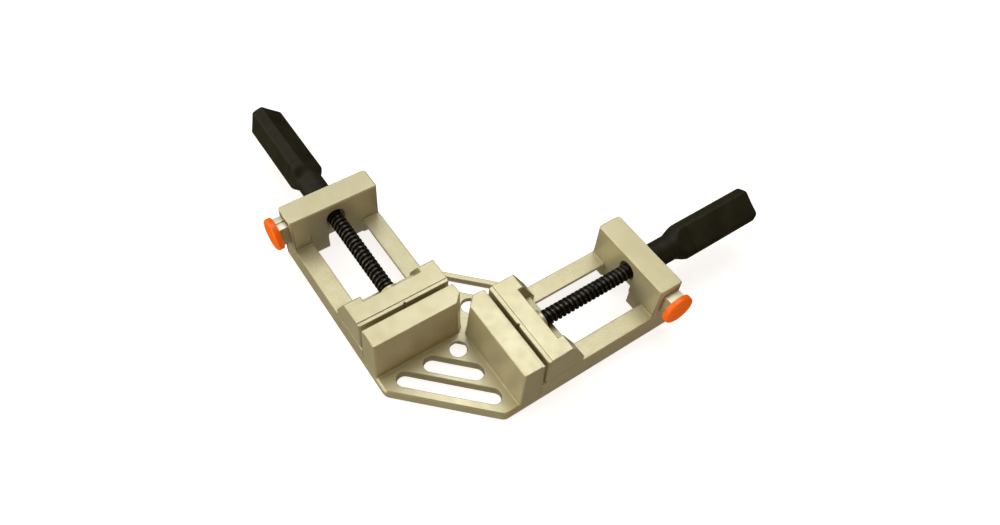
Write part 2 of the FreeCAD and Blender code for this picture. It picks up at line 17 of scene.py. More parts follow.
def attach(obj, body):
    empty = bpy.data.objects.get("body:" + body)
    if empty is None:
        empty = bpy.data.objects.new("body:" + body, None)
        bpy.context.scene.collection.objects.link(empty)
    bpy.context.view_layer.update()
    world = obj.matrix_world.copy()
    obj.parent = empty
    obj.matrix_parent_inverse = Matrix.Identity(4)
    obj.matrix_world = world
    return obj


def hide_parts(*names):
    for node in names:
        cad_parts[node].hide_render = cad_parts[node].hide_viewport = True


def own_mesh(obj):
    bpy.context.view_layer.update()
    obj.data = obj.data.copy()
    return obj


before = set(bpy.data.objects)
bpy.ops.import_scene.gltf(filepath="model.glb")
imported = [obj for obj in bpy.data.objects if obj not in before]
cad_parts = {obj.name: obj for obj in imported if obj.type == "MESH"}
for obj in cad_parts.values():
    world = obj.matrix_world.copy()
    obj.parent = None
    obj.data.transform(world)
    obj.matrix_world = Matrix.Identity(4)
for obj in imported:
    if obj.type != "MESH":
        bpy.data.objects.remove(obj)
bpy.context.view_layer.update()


MM = 0.001

# %% [markdown]
# ## An arm's own directions
# Both arms are alike, so it pays to think in an arm's own directions: u runs out along the screw, v
# runs along the jaws towards the push button, and w is up. One function turns (u, v, w) in
# millimetres into world metres for either arm, and another measures a node of the frame along one
# of them. The right arm is a mirror image, and a mirror turns a surface inside out, so every new
# piece has its normals worked out again.

# %% The two arms' directions
SIDES = ("left", "right")
HALF_ROOT = 0.5 ** 0.5
OUTWARD = {"left": np.array([-HALF_ROOT, HALF_ROOT, 0]),
           "right": np.array([HALF_ROOT, HALF_ROOT, 0])}
ACROSS = {"left": np.array([-HALF_ROOT, -HALF_ROOT, 0]),
          "right": np.array([HALF_ROOT, -HALF_ROOT, 0])}
UPWARD = np.array([0.0, 0.0, 1.0])
U, V, W = 0, 1, 2


def in_arm(side, points):
    """World metres of (u, v, w) millimetres: u * outward + v * across + w * up."""
    points = np.asarray(points, float)
    axes = np.stack([OUTWARD[side], ACROSS[side], UPWARD])
    return points @ axes * MM


def vertices(mesh):
    """The vertices of a mesh as one array of rows (x, y, z), in metres."""
    flat = np.zeros(len(mesh.vertices) * 3, np.float32)
    mesh.vertices.foreach_get("co", flat)
    return flat.reshape(-1, 3)


def reach(node, side, axis):
    """Lowest and highest millimetre of a node of the frame along U, V or W."""
    direction = (OUTWARD[side], ACROSS[side], UPWARD)[axis]
    along = vertices(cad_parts[node].data) @ direction / MM
    return float(along.min()), float(along.max())


screw_v = sum(reach("left_spindle", "left", V)) / 2
screw_w = sum(reach("left_spindle", "left", W)) / 2
print("screw axis at v", round(screw_v, 2), "w", round(screw_w, 2))

# %% [markdown]
# ## Surfaces as grids
# A surface is a grid of points: rows along it and columns round it. Three helpers serve all the
# turned and moulded pieces. One lists a grid's faces, one strings several grids together, and one
# welds the parts of a piece, makes the mesh and lets it ride on the body that carries it. A fourth
# prints what a piece came to. Pieces could be built up by hand from cylinders and boxes, but a
# grid's every point has a formula, so its sizes can be read from the script.

# %% Grid and mesh helpers
WELD = 2e-6     # metres: points nearer than this are one point


def grid_faces(rows, columns, start=0, closed=True):
    """Quads between neighbours of a grid; closed joins the last column to the first."""
    row = np.arange(rows - 1)[:, None]
    column = np.arange(columns if closed else columns - 1)[None, :]
    beside = (column + 1) % columns
    quads = np.stack([row * columns + column, row * columns + beside,
                      (row + 1) * columns + beside, (row + 1) * columns + column], axis=-1)
    return quads.reshape(-1, 4) + start


def joined(grids):
    """Points and quads of several (grid of points, closed) as one list, each after the last."""
    points, faces, start = [], [], 0
    for grid, closed in grids:
        rows, columns = grid.shape[:2]
        points.append(grid.reshape(-1, 3))
        faces.append(grid_faces(rows, columns, start, closed))
        start += rows * columns
    return np.concatenate(points), np.concatenate(faces)


def piece_of(name, points, faces, body, smooth_angle):
    """Mesh object from points in metres and quads: doubles welded, faces turned outward."""
    mesh = bpy.data.meshes.new(name)
    mesh.from_pydata(points.tolist(), [], faces.tolist())
    form = bmesh.new()
    form.from_mesh(mesh)
    bmesh.ops.remove_doubles(form, verts=form.verts, dist=WELD)
    bmesh.ops.dissolve_degenerate(form, edges=form.edges, dist=WELD)
    loose = [v for v in form.verts if not v.link_faces]
    bmesh.ops.delete(form, geom=loose, context="VERTS")
    bmesh.ops.recalc_face_normals(form, faces=form.faces)
    form.to_mesh(mesh)
    form.free()
    mesh.shade_smooth()
    mesh.set_sharp_from_angle(angle=np.radians(smooth_angle))
    piece = bpy.data.objects.new(name, mesh)
    bpy.context.scene.collection.objects.link(piece)
    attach(piece, body)
    return piece


def tell(piece):
    """Prints how many faces a piece has, and how many edges without two faces."""
    form = bmesh.new()
    form.from_mesh(piece.data)
    loose = sum(not edge.is_manifold for edge in form.edges)
    form.free()
    print(piece.name, "faces", len(piece.data.polygons), "open edges", loose)


print("a closed grid of 2 rows and 4 columns has", len(grid_faces(2, 4)), "faces")

# %% [markdown]
# ## Finishes as node trees
# Colours are written as the hex values that a colour picker shows. Shaders work in linear light, so
# one function turns them. `add` makes a shader node with its settings and inputs, and `feed` fills
# the inputs of a node that is there already. `start_finish` starts a material and turns the piece's
# own coordinates to millimetres. Noise whose scale is 1 / 34 then has lumps about 34 mm wide, so
# every scale below is a real size. Pictures of paint and metal could be used as well, but a pattern
# that is worked out has no seams and no repeats.

# %% Colour and shader helpers
COLOUR = {"data_type": "RGBA"}          # the setting with which a Mix node mixes colours


def linear(hex_colour):
    """sRGB hex to linear: c / 12.92 below 0.04045, else ((c + 0.055) / 1.055) ** 2.4."""
    parts = np.array([int(hex_colour[i:i + 2], 16) for i in (1, 3, 5)]) / 255
    light = np.where(parts <= 0.04045, parts / 12.92, ((parts + 0.055) / 1.055) ** 2.4)
    return (*light.tolist(), 1.0)


def feed(tree, node, **inputs):
    """Fills a node's inputs, named with _ for a space, with values or with other nodes' outputs.
    A node gives its first output in use, and inputs that share a name take one value each."""
    for key, value in inputs.items():
        sockets = [s for s in node.inputs if s.enabled and s.name == key.replace("_", " ")]
        if not sockets:
            raise KeyError(key)
        for socket, given in zip(sockets, value if len(sockets) > 1 else [value]):
            if isinstance(given, bpy.types.Node):
                given = next(output for output in given.outputs if output.enabled)
            if isinstance(given, bpy.types.NodeSocket):
                tree.links.new(given, socket)
            else:
                socket.default_value = given
    return node


def add(tree, kind, settings=None, **inputs):
    """A new shader node of a kind such as Bump, with its settings, and its inputs fed."""
    made = tree.nodes.new("ShaderNode" + kind)
    for key, value in (settings or {}).items():
        setattr(made, key, value)
    return feed(tree, made, **inputs)


def start_finish(name, **constants):
    """A material, its node tree, its surface shader, and the place on the piece in millimetres."""
    finish = bpy.data.materials.new(name)
    finish.use_nodes = True
    tree = finish.node_tree
    surface = feed(tree, tree.nodes["Principled BSDF"], **constants)
    place = add(tree, "TexCoord").outputs["Object"]
    in_mm = add(tree, "Mapping", Vector=place, Scale=(1 / MM, 1 / MM, 1 / MM))
    return finish, tree, surface, in_mm


print("white is", linear("#FFFFFF")[:3])

# %% [markdown]
# ## Champagne lacquer on die-cast aluminium
# The body and jaws are die cast, tumbled and sprayed with a pale gold metallic lacquer. It hides
# the metal's shine but keeps a satin glow, its colour drifts a little over the part, and close up
# it shows fine flake and the soft orange-peel of sprayed paint over blasted metal. A half metallic
# base under a thin clear coat gives that glow.
# Flake is about 0.05 mm in real lacquer, too fine to show, so it is drawn at 0.7 mm.

# %% Champagne lacquer
def champagne_lacquer():
    """Clouds of 34 mm under 0.7 mm flake; roughness drifts over 9 mm; orange-peel of 2.4 mm."""
    finish, tree, surface, place = start_finish(
        "champagne_lacquer", Metallic=0.45, Coat_Weight=0.35, Coat_Roughness=0.18)
    cloud = add(tree, "TexNoise", Vector=place, Scale=1 / 34, Detail=2)
    cloudy = add(tree, "MapRange", Value=cloud, From_Min=0.35, From_Max=0.65)
    sprayed = add(tree, "Mix", COLOUR, Factor=cloudy, A=linear("#B6AA80"), B=linear("#BEB38C"))
    flake = add(tree, "TexNoise", Vector=place, Scale=1 / 0.7, Detail=2, Roughness=0.6)
    sparse = add(tree, "MapRange", Value=flake, From_Min=0.42, From_Max=0.62, To_Max=0.50)
    flaked = add(tree, "Mix", COLOUR, Factor=sparse, A=sprayed, B=linear("#DAD0B0"))
    drift = add(tree, "TexNoise", Vector=place, Scale=1 / 9, Detail=3)
    satin = add(tree, "MapRange", Value=drift, From_Min=0.3, From_Max=0.7, To_Min=0.40, To_Max=0.50)
    peel = add(tree, "TexNoise", Vector=place, Scale=1 / 2.4, Detail=2)
    waves = add(tree, "Bump", Height=peel, Distance=0.05 * MM, Strength=0.35)
    relief = add(tree, "Bump", Height=flake, Distance=0.05 * MM, Strength=0.40, Normal=waves)
    feed(tree, surface, Base_Color=flaked, Roughness=satin, Normal=relief)
    return finish


lacquer = champagne_lacquer()
print("made", lacquer.name)

# %% [markdown]
# ## Machined aluminium of the slides
# The slides are sawn and milled from bar and left bare but for a clear finish. That leaves a pale
# warm metal with fine cutter marks, about 0.45 mm apart, which break up its reflections.

# %% Milled aluminium
def milled_aluminium():
    """Clouds of 12 mm in the colour; marks of 0.45 mm in the roughness and as bumps."""
    finish, tree, surface, place = start_finish("milled_aluminium", Metallic=0.75)
    cloud = add(tree, "TexNoise", Vector=place, Scale=1 / 12, Detail=2)
    metal = add(tree, "Mix", COLOUR, Factor=cloud, A=linear("#BEB79C"), B=linear("#D0CAB4"))
    marks = add(tree, "TexNoise", Vector=place, Scale=1 / 0.45, Detail=2)
    rough = add(tree, "MapRange", Value=marks, From_Min=0.3, From_Max=0.7, To_Min=0.30, To_Max=0.46)
    relief = add(tree, "Bump", Height=marks, Distance=0.02 * MM, Strength=0.3)
    feed(tree, surface, Base_Color=metal, Roughness=rough, Normal=relief)
    return finish


bar_finish = milled_aluminium()
print("made", bar_finish.name)

# %% [markdown]
# ## Black-oxide steel of the spindles
# The rolled thread is blackened and oiled. The oxide wears off first where the thread rubs, so each
# vertex carries how near it is to the crest, and the finish lets a little grey steel show there.

# %% Black-oxide steel
def black_oxide():
    """Oxide in patches of 3 mm; grey steel where crest and patch are both high."""
    finish, tree, surface, place = start_finish("black_oxide_steel", Metallic=0.85)
    crest = add(tree, "Attribute", {"attribute_name": "crest"}).outputs["Fac"]
    near = add(tree, "MapRange", Value=crest, From_Min=0.8, From_Max=1.0)
    patch = add(tree, "TexNoise", Vector=place, Scale=1 / 3.0, Detail=3)
    bare = add(tree, "MapRange", Value=patch, From_Min=0.4, From_Max=0.75)
    worn = add(tree, "Math", {"operation": "MULTIPLY"}, Value=(near, bare))
    oxide = add(tree, "Mix", COLOUR, Factor=patch, A=linear("#1B1815"), B=linear("#2A2622"))
    steel = add(tree, "Mix", COLOUR, Factor=worn, A=oxide, B=linear("#6A655C"))
    oil = add(tree, "TexNoise", Vector=place, Scale=1 / 1.4, Detail=3)
    rough = add(tree, "MapRange", Value=oil, From_Min=0.3, From_Max=0.7, To_Min=0.28, To_Max=0.44)
    grain = add(tree, "TexNoise", Vector=place, Scale=1 / 0.8, Detail=2)
    relief = add(tree, "Bump", Height=grain, Distance=0.02 * MM, Strength=0.3)
    feed(tree, surface, Base_Color=steel, Roughness=rough, Normal=relief)
    return finish


oxide_steel = black_oxide()
print("made", oxide_steel.name)

# %% [markdown]
# ## Glass-filled nylon of the handles
# The handles are moulded in black glass-filled nylon, whose mould was spark-eroded. That leaves a
# fine even grain with a dull sheen, and the black is a warm one with a trace of olive. Broad, very
# shallow waves are the sink marks of the thick grip.

# %% Black nylon
def black_nylon():
    """Clouds of 22 mm; mould grain of 0.6 mm in roughness and bump; waves of 14 mm."""
    finish, tree, surface, place = start_finish(
        "black_glass_filled_nylon", Metallic=0.0, IOR=1.53, Specular_IOR_Level=0.14)
    cloud = add(tree, "TexNoise", Vector=place, Scale=1 / 22, Detail=2)
    cloudy = add(tree, "MapRange", Value=cloud, From_Min=0.35, From_Max=0.65)
    black = add(tree, "Mix", COLOUR, Factor=cloudy, A=linear("#1E1B10"), B=linear("#282515"))
    grain = add(tree, "TexNoise", Vector=place, Scale=1 / 0.6, Detail=3, Roughness=0.65)
    rough = add(tree, "MapRange", Value=grain, From_Min=0.3, From_Max=0.7, To_Min=0.48, To_Max=0.62)
    sink = add(tree, "TexNoise", Vector=place, Scale=1 / 14, Detail=1)
    fine = add(tree, "Bump", Height=grain, Distance=0.05 * MM, Strength=0.4)
    relief = add(tree, "Bump", Height=sink, Distance=0.15 * MM, Strength=0.3, Normal=fine)
    feed(tree, surface, Base_Color=black, Roughness=rough, Normal=relief)
    return finish


nylon = black_nylon()
print("made", nylon.name)

# %% [markdown]
# ## Orange ABS of the push buttons
# The buttons are moulded in orange ABS with a semi-gloss face. Light that enters the plastic comes
# out again beside where it went in, which a low share of subsurface scattering gives. A faint
# orange glow is added as painted light: it lifts the buttons' shaded sides and tints what is near.

# %% Orange ABS
def orange_abs():
    """Clouds of 8 mm; roughness drifts over 1.2 mm; a faint mould texture of 0.9 mm."""
    finish, tree, surface, place = start_finish(
        "orange_abs", Metallic=0.0, IOR=1.54, Specular_IOR_Level=0.25,
        # a faint orange emission: painted light that keeps the buttons bright in their shade
        Emission_Color=linear("#FF4800"), Emission_Strength=0.05,
        Subsurface_Weight=0.15, Subsurface_Radius=(0.9, 0.35, 0.1), Subsurface_Scale=0.002)
    cloud = add(tree, "TexNoise", Vector=place, Scale=1 / 8, Detail=2)
    pigment = add(tree, "Mix", COLOUR, Factor=cloud, A=linear("#F76400"), B=linear("#FC7402"))
    drift = add(tree, "TexNoise", Vector=place, Scale=1 / 1.2, Detail=3)
    gloss = add(tree, "MapRange", Value=drift, From_Min=0.3, From_Max=0.7, To_Min=0.28, To_Max=0.38)
    texture = add(tree, "TexNoise", Vector=place, Scale=1 / 0.9, Detail=2)
    relief = add(tree, "Bump", Height=texture, Distance=0.015 * MM, Strength=0.25)
    feed(tree, surface, Base_Color=pigment, Roughness=gloss, Normal=relief)
    return finish


orange = orange_abs()
print("made", orange.name)

# %% [markdown]
# ## Plated and ground steel of the small parts
# Keeper plates and their screws are zinc plated, a grey with cloudy spangle. Pins and springs are
# ground or drawn steel, a little darker and smoother, with fine lines.

# %% Plated and ground steel
def plated_steel():
    """Spangle: one grey for each Voronoi cell of 2.5 mm; roughness drifts over 2 mm."""
    finish, tree, surface, place = start_finish("zinc_plated_steel", Metallic=1.0)
    spangle = add(tree, "TexVoronoi", Vector=place, Scale=1 / 2.5).outputs["Color"]
    grey = add(tree, "RGBToBW", Color=spangle)
    zinc = add(tree, "Mix", COLOUR, Factor=grey, A=linear("#A9AAA6"), B=linear("#C4C5C0"))
    drift = add(tree, "TexNoise", Vector=place, Scale=1 / 2, Detail=3)
    rough = add(tree, "MapRange", Value=drift, From_Min=0.3, From_Max=0.7, To_Min=0.28, To_Max=0.42)
    grain = add(tree, "TexNoise", Vector=place, Scale=1 / 0.7, Detail=2)
    relief = add(tree, "Bump", Height=grain, Distance=0.02 * MM, Strength=0.3)
    feed(tree, surface, Base_Color=zinc, Roughness=rough, Normal=relief)
    return finish


def ground_steel():
    """Grinding lines of 0.35 mm in colour, roughness and bump."""
    finish, tree, surface, place = start_finish("ground_steel", Metallic=1.0)
    lines = add(tree, "TexNoise", Vector=place, Scale=1 / 0.35, Detail=3)
    steel = add(tree, "Mix", COLOUR, Factor=lines, A=linear("#8E8D89"), B=linear("#B5B4AE"))
    rough = add(tree, "MapRange", Value=lines, From_Min=0.3, From_Max=0.7, To_Min=0.22, To_Max=0.38)
    relief = add(tree, "Bump", Height=lines, Distance=0.01 * MM, Strength=0.3)
    feed(tree, surface, Base_Color=steel, Roughness=rough, Normal=relief)
    return finish


plated, ground = plated_steel(), ground_steel()
print("made", plated.name, ground.name)

# %% [markdown]
# New pieces and nodes of the frame take a finish in the same way: through their material slots.

# %% Giving a finish
def give(piece, finish):
    """Puts a finish in every material slot of a piece or a node of the frame."""
    if not piece.material_slots:
        piece.data.materials.append(finish)
    for held in piece.material_slots:
        held.material = finish
    return piece


finishes = (lacquer, bar_finish, oxide_steel, nylon, orange, plated, ground)
print("finishes ready:", [finish.name for finish in finishes])

# %% [markdown]
# ## Castings with soft edges
# No casting has a knife edge: the die's corners are rounded, and tumbling and lacquer round them
# more. The measured solids are right in shape but sharp, so each casting is a copy of its solid
# whose edges are rounded. They could be modelled again by hand, but a copy can't drift from the
# measured shape.
# First comes the choice of edges. Corners are rounded, and so are blunt edges between two wide
# faces. The facets of a curve and the sides of a narrow chamfer are left alone. Each edge also
# needs room: a rounding that is wider than the feature beside it would fold over.

# %% Which edges to round, and how much room they have
CURVE_ANGLE, CORNER_ANGLE = 20, 60      # degrees: facets turn less, corners turn more
NARROW_MM = 2.5                         # strips narrower than this are chamfers or facets
NO_LIMIT_MM = 99.0                      # the room where no edge is near
BENT, CROSSING = (0.05, 0.69), (0.69, 2.45)     # radians from an edge to one that meets it


def strip_width(face):
    """Width of a long strip in millimetres: about 2 * area / perimeter."""
    return 2 * face.calc_area() / face.calc_perimeter() / MM


def is_corner(edge):
    """True for an edge to round: a sharp one, or a blunt one between two wide faces."""
    if not edge.is_manifold:
        return False
    turn = np.degrees(edge.calc_face_angle(0))
    wide = min(strip_width(face) for face in edge.link_faces) > NARROW_MM
    return turn > CORNER_ANGLE or (turn > CURVE_ANGLE and wide)


def room_beside(edge):
    """Room in millimetres: the shortest edge that crosses this one, or, where a corner goes on
    round a curve, the radius of that bend, which is mean length / turn."""
    lengths = [NO_LIMIT_MM]
    for end in edge.verts:
        back = end.co - edge.other_vert(end).co
        for other in end.link_edges:
            if other is edge:
                continue
            run = other.other_vert(end).co - end.co
            turn = back.angle(run, 0.0)
            if CROSSING[0] < turn < CROSSING[1]:
                lengths.append(run.length / MM)
            elif BENT[0] < turn < BENT[1] and is_corner(other):
                lengths.append(0.5 * (run.length + back.length) / turn / MM)
    return min(lengths)


print("corners turn over", CORNER_ANGLE, "degrees, or", CURVE_ANGLE, "between wide faces")

# %% [markdown]
# The solid comes as loose triangles. Welded and dissolved, they become flat faces again, and each
# corner gets a weight, its share of the full rounding. A Bevel modifier reads the weights, and its
# result is kept as the mesh.

# %% Welded copies and rounded edges
FLAT_ANGLE, SMOOTH_ANGLE = 0.6, 28      # degrees: coplanar triangles, and edges shaded smooth
ROOM_SHARE = 0.45                       # of the room beside an edge, for its rounding
LEAST_SHARE = 0.1                       # of the full radius: a smaller rounding is left out
ROUND_SEGMENTS = 3


def weighted_copy(node, radius_mm):
    """Copy of a node's mesh with flat faces, and weight = ROOM_SHARE * room / radius, up to 1."""
    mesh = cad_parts[node].data.copy()
    form = bmesh.new()
    form.from_mesh(mesh)
    bmesh.ops.remove_doubles(form, verts=form.verts, dist=WELD)
    bmesh.ops.dissolve_limit(form, angle_limit=np.radians(FLAT_ANGLE), verts=form.verts,
                             edges=form.edges)
    weight = form.edges.layers.float.new("bevel_weight_edge")
    for face in form.faces:
        face.smooth = True
    for edge in form.edges:
        edge.smooth = edge.is_manifold and edge.calc_face_angle(0) < np.radians(SMOOTH_ANGLE)
        if is_corner(edge):
            share = min(1.0, ROOM_SHARE * room_beside(edge) / radius_mm)
            edge[weight] = share if share > LEAST_SHARE else 0.0
            edge.smooth = share > LEAST_SHARE
    form.to_mesh(mesh)
    form.free()
    return mesh


def bevelled(piece, radius_mm):
    """The mesh that a Bevel modifier makes of a piece with weighted edges."""
    rounding = piece.modifiers.new("rounded_edges", "BEVEL")
    rounding.width = radius_mm * MM
    rounding.segments = ROUND_SEGMENTS
    rounding.limit_method = "WEIGHT"
    rounding.use_clamp_overlap = False
    rounding.loop_slide = False
    rounding.face_strength_mode = "FSTR_AFFECTED"
    evaluated = piece.evaluated_get(bpy.context.evaluated_depsgraph_get())
    mesh = bpy.data.meshes.new_from_object(evaluated)
    piece.modifiers.clear()
    return mesh


print("each rounding has", ROUND_SEGMENTS, "facets and takes up to", ROOM_SHARE, "of its room")

# %% [markdown]
# A large flat face with many holes has an outline of a hundred corners or more, and at a tiny
# corner the rounding can make it cross itself, which a renderer shows as a black sliver. Such a
# face is cut into Delaunay triangles, which can't cross each other. Where the outline crossed
# itself, its new edges no longer match its neighbours', so some seams stay unjoined there.

# %% Flats with many corners
MANY_CORNERS, SAME_POINT = 12, 1e-7     # corners of a face, and metres between its points
ONLY_INSIDE = 1                         # the result wanted: triangles inside the outline


def rejoin_flats(form):
    """Puts Delaunay triangles, found in the face's own plane, in place of faces of many corners."""
    for face in [face for face in form.faces if len(face.verts) > MANY_CORNERS]:
        corners, normal = list(face.verts), face.normal.copy()
        across = normal.orthogonal().normalized()
        up, height = normal.cross(across), corners[0].co.dot(normal)
        flat = [Vector((corner.co.dot(across), corner.co.dot(up))) for corner in corners]
        points, _, triangles, sources, _, _ = delaunay_2d_cdt(
            flat, [], [list(range(len(flat)))], ONLY_INSIDE, SAME_POINT)
        found = []
        for at, source in zip(points, sources):
            new_place = across * at.x + up * at.y + normal * height
            found.append(corners[source[0]] if source else form.verts.new(new_place))
        for triangle in triangles:
            three = [found[corner] for corner in triangle]
            if form.faces.get(three) is None:
                form.faces.new(three, face).smooth = True
        form.faces.remove(face)


print("faces of more than", MANY_CORNERS, "corners are cut into triangles")

# %% [markdown]
# With that, a casting is made in four steps: weighted copy, rounded edges, mended flats and
# normals. The normals are weighted by face area, so the roundings shade round while the large
# faces stay flat. The body has the largest roundings, and the milled slides only broken edges.

# %% Soft-edged castings
BODY_ROUND, JAW_ROUND, SLIDE_ROUND = 1.0, 0.8, 0.4      # millimetres


def soft_casting(node, body, name, radius_mm, finish):
    """Copy of a node's solid with edges rounded by up to radius_mm, shaded by face area."""
    sharp = weighted_copy(node, radius_mm)
    piece = bpy.data.objects.new(name, sharp)
    bpy.context.scene.collection.objects.link(piece)
    mesh = bevelled(piece, radius_mm)
    form = bmesh.new()
    form.from_mesh(mesh)
    rejoin_flats(form)
    form.to_mesh(mesh)
    form.free()
    mesh.name = name
    piece.data = mesh
    bpy.data.meshes.remove(sharp)
    shading = piece.modifiers.new("flat_faces_stay_flat", "WEIGHTED_NORMAL")
    shading.keep_sharp = True
    shading.use_face_influence = True
    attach(piece, body)
    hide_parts(node)
    return give(piece, finish)


tell(soft_casting("body_casting", "frame", "soft_body_casting", BODY_ROUND, lacquer))
for side in SIDES:
    tell(soft_casting(f"{side}_moving_jaw", f"{side}_jaw", f"{side}_soft_jaw",
                      JAW_ROUND, lacquer))
    tell(soft_casting(f"{side}_release_slide", f"{side}_release", f"{side}_soft_slide",
                      SLIDE_ROUND, bar_finish))

# %% [markdown]
# ## Rolled trapezoidal thread
# A screw is a profile carried along a helix. The Screw modifier could do that too, but here the
# thread also has to run out at both ends. The grid's rows follow the profile of one thread after
# another, and its columns turn round the axis. Each column is shifted along the axis by its share
# of a turn, so a crest runs exactly along grid lines and stays crisp with few faces. The last
# column meets the first one pitch further on. At both ends the places are held at the end plane
# and the radius eases to the plain bar's, which is how a rolled thread runs out.

# %% Thread
PITCH, TURN_STEPS, RUN_OUT = 5.0, 48, 0.8       # millimetres, columns, and turns to run out in
THREAD_RADIUS, ROOT_RADIUS, BAR_RADIUS = 7.95, 5.7, 5.9
# one thread along the axis: (share of the pitch, share of the depth)
THREAD_FORM = np.array([
    [0.00, 0.00], [0.12, 0.03], [0.17, 0.12], [0.26, 0.86], [0.30, 0.97], [0.37, 1.00],
    [0.56, 1.00], [0.63, 0.97], [0.67, 0.86], [0.76, 0.12], [0.81, 0.03]])


def eased(share):
    """Smooth step of a share held to 0..1: s * s * (3 - 2 s)."""
    share = np.clip(share, 0, 1)
    return share * share * (3 - 2 * share)


def thread_grid(start, end):
    """(u, radius) for rows along every turn: u = start + pitch * (turn + share + angle / 2 pi),
    and radius = root + (crest - root) * depth, eased to the bar's radius at both ends."""
    turns = np.arange(-1, int((end - start) / PITCH) + 1)
    share = (turns[:, None] + THREAD_FORM[None, :, 0]).ravel()
    depth = np.tile(THREAD_FORM[:, 1], len(turns))
    angle = np.arange(TURN_STEPS + 1) / TURN_STEPS
    u = start + PITCH * (share[:, None] + angle[None, :])
    held = np.clip(u, start, end)
    from_end = np.minimum(held - start, end - held) / PITCH
    full = ROOT_RADIUS + (THREAD_RADIUS - ROOT_RADIUS) * depth[:, None]
    return held, BAR_RADIUS + (full - BAR_RADIUS) * eased(from_end / RUN_OUT)


print("thread: pitch", PITCH, "depth", round(THREAD_RADIUS - ROOT_RADIUS, 2), "mm")

# %% [markdown]
# Everything else on the screw is turned, so two helpers put a radius and a turn about the screw's
# axis into the arm's directions. The handles use them too.

# %% Turning about the screw's axis
def round_points(u, radius, turn):
    """(u, v, w) at a radius and a turn (0 to 1): v and w are radius * cos and sin of 2 pi turn."""
    angle = 2 * np.pi * turn
    return np.stack([u + 0 * angle, screw_v + radius * np.cos(angle),
                     screw_w + radius * np.sin(angle)], axis=-1)


def turned_skin(profile, steps):
    """Rows of points of a turned form: each (u, radius) of the profile swept round the axis."""
    profile = np.asarray(profile, float)
    turn = np.arange(steps)[None, :] / steps
    return round_points(profile[:, :1] + 0 * turn, profile[:, 1:] + 0 * turn, turn)


print("a turned ring of 4 steps:", turned_skin([(0, 1)], 4).shape)

# %% [markdown]
# A spindle is three grids in a row. Its plain tip has a neck, where the jaw's retaining pin holds
# it, then comes the thread, and last the square shank on which the handle is moulded. A
# square is turned too, with the radius half / max(|cos|, |sin|). Both threads are right-handed, so
# the grid of the right arm, whose directions are a mirror image, turns the other way.

# %% Threaded spindles
# millimetres from the tip's end
NECK_START, NECK_END, THREAD_START, THREAD_STOP = 6.4, 10.4, 18.7, 151.4
NECK_RADIUS, TIP_CHAMFER, SHANK_HALF = 4, 0.5, 5.5


def shank_skin(start, end):
    """Rows from the bar's circle to the square, along the square, and in to the axis."""
    turn = np.arange(TURN_STEPS)[None, :] / TURN_STEPS
    angle = 2 * np.pi * turn
    square = SHANK_HALF / np.maximum(np.abs(np.cos(angle)), np.abs(np.sin(angle)))
    u = np.array([start, start, end, end])[:, None]
    radius = np.concatenate([0 * angle + BAR_RADIUS, square, square, 0 * angle])
    return round_points(u + 0 * turn, radius, turn + 0 * u)


def mark_crests(piece, side):
    """Attribute of each vertex: (distance from the axis - root) / (crest - root), 0 to 1."""
    local = vertices(piece.data) / MM
    away = np.hypot(local @ ACROSS[side] - screw_v, local @ UPWARD - screw_w)
    share = np.clip((away - ROOT_RADIUS) / (THREAD_RADIUS - ROOT_RADIUS), 0, 1)
    crest = piece.data.attributes.new("crest", "FLOAT", "POINT")
    crest.data.foreach_set("value", share.astype(np.float32))


def spindle(side):
    """Threaded bar: plain necked tip, thread, and the square shank inside the handle."""
    tip, rear = reach(f"{side}_spindle", side, U)
    start, stop = tip + THREAD_START, tip + THREAD_STOP
    u, radius = thread_grid(start, stop)
    hand = 1 if side == "left" else -1
    turn = hand * np.arange(TURN_STEPS + 1)[None, :] / TURN_STEPS
    plain_tip = [(tip, 0), (tip, BAR_RADIUS - TIP_CHAMFER), (tip + TIP_CHAMFER, BAR_RADIUS),
                 (tip + NECK_START, BAR_RADIUS), (tip + NECK_START, NECK_RADIUS),
                 (tip + NECK_END, NECK_RADIUS), (tip + NECK_END, BAR_RADIUS),
                 (start, BAR_RADIUS)]
    points, faces = joined([(round_points(u, radius, turn + 0 * u), False),
                            (turned_skin(plain_tip, TURN_STEPS), True),
                            (shank_skin(stop, rear), True)])
    piece = piece_of(f"{side}_threaded_spindle", in_arm(side, points), faces, f"{side}_screw",
                     50)
    mark_crests(piece, side)
    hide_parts(f"{side}_spindle")
    return give(piece, oxide_steel)


for side in SIDES:
    tell(spindle(side))

# %% [markdown]
# ## Moulded handles
# The grip has three wide flats and three narrow ones, and a round hub. In polar form a flat at
# distance d that faces the angle a is the curve r = d / cos(angle - a). A hexagon is the least of
# its six flats, and a soft least, a power mean with a high negative power, rounds the edges as the
# mould does. A Bevel modifier could round them too, but it would fold where the flats fade out.

# %% The grip's section
WIDE_FLAT, NARROW_FLAT = 14.4, 19.2     # millimetres from the axis
FLAT_POWER, CONE_POWER = 34, 60         # a higher power keeps an edge sharper
LEAST_LEAN = 0.2                        # a flat that faces further away is held far out
GRIP_STEPS = 144


def soft_least(values, power):
    """Power mean of radii, (sum r ** -p) ** (-1 / p): nearly the least one, corners rounded."""
    values = np.stack(np.broadcast_arrays(*values))
    return (values ** -power).sum(axis=0) ** (-1 / power)


def grip_radius(angle, phase):
    """Radius of the six-flat section at each angle, in degrees from v towards w."""
    flats = []
    for step in range(3):
        for distance, facing in ((NARROW_FLAT, phase + 120 * step),
                                 (WIDE_FLAT, phase + 60 + 120 * step)):
            lean = np.cos(np.radians(angle - facing))
            flats.append(distance / np.maximum(lean, LEAST_LEAN))
    return soft_least(flats, FLAT_POWER)


grip_angle = np.arange(GRIP_STEPS) * 360 / GRIP_STEPS
print("widest radius of the grip", round(float(grip_radius(grip_angle, 0).max()), 2), "mm")

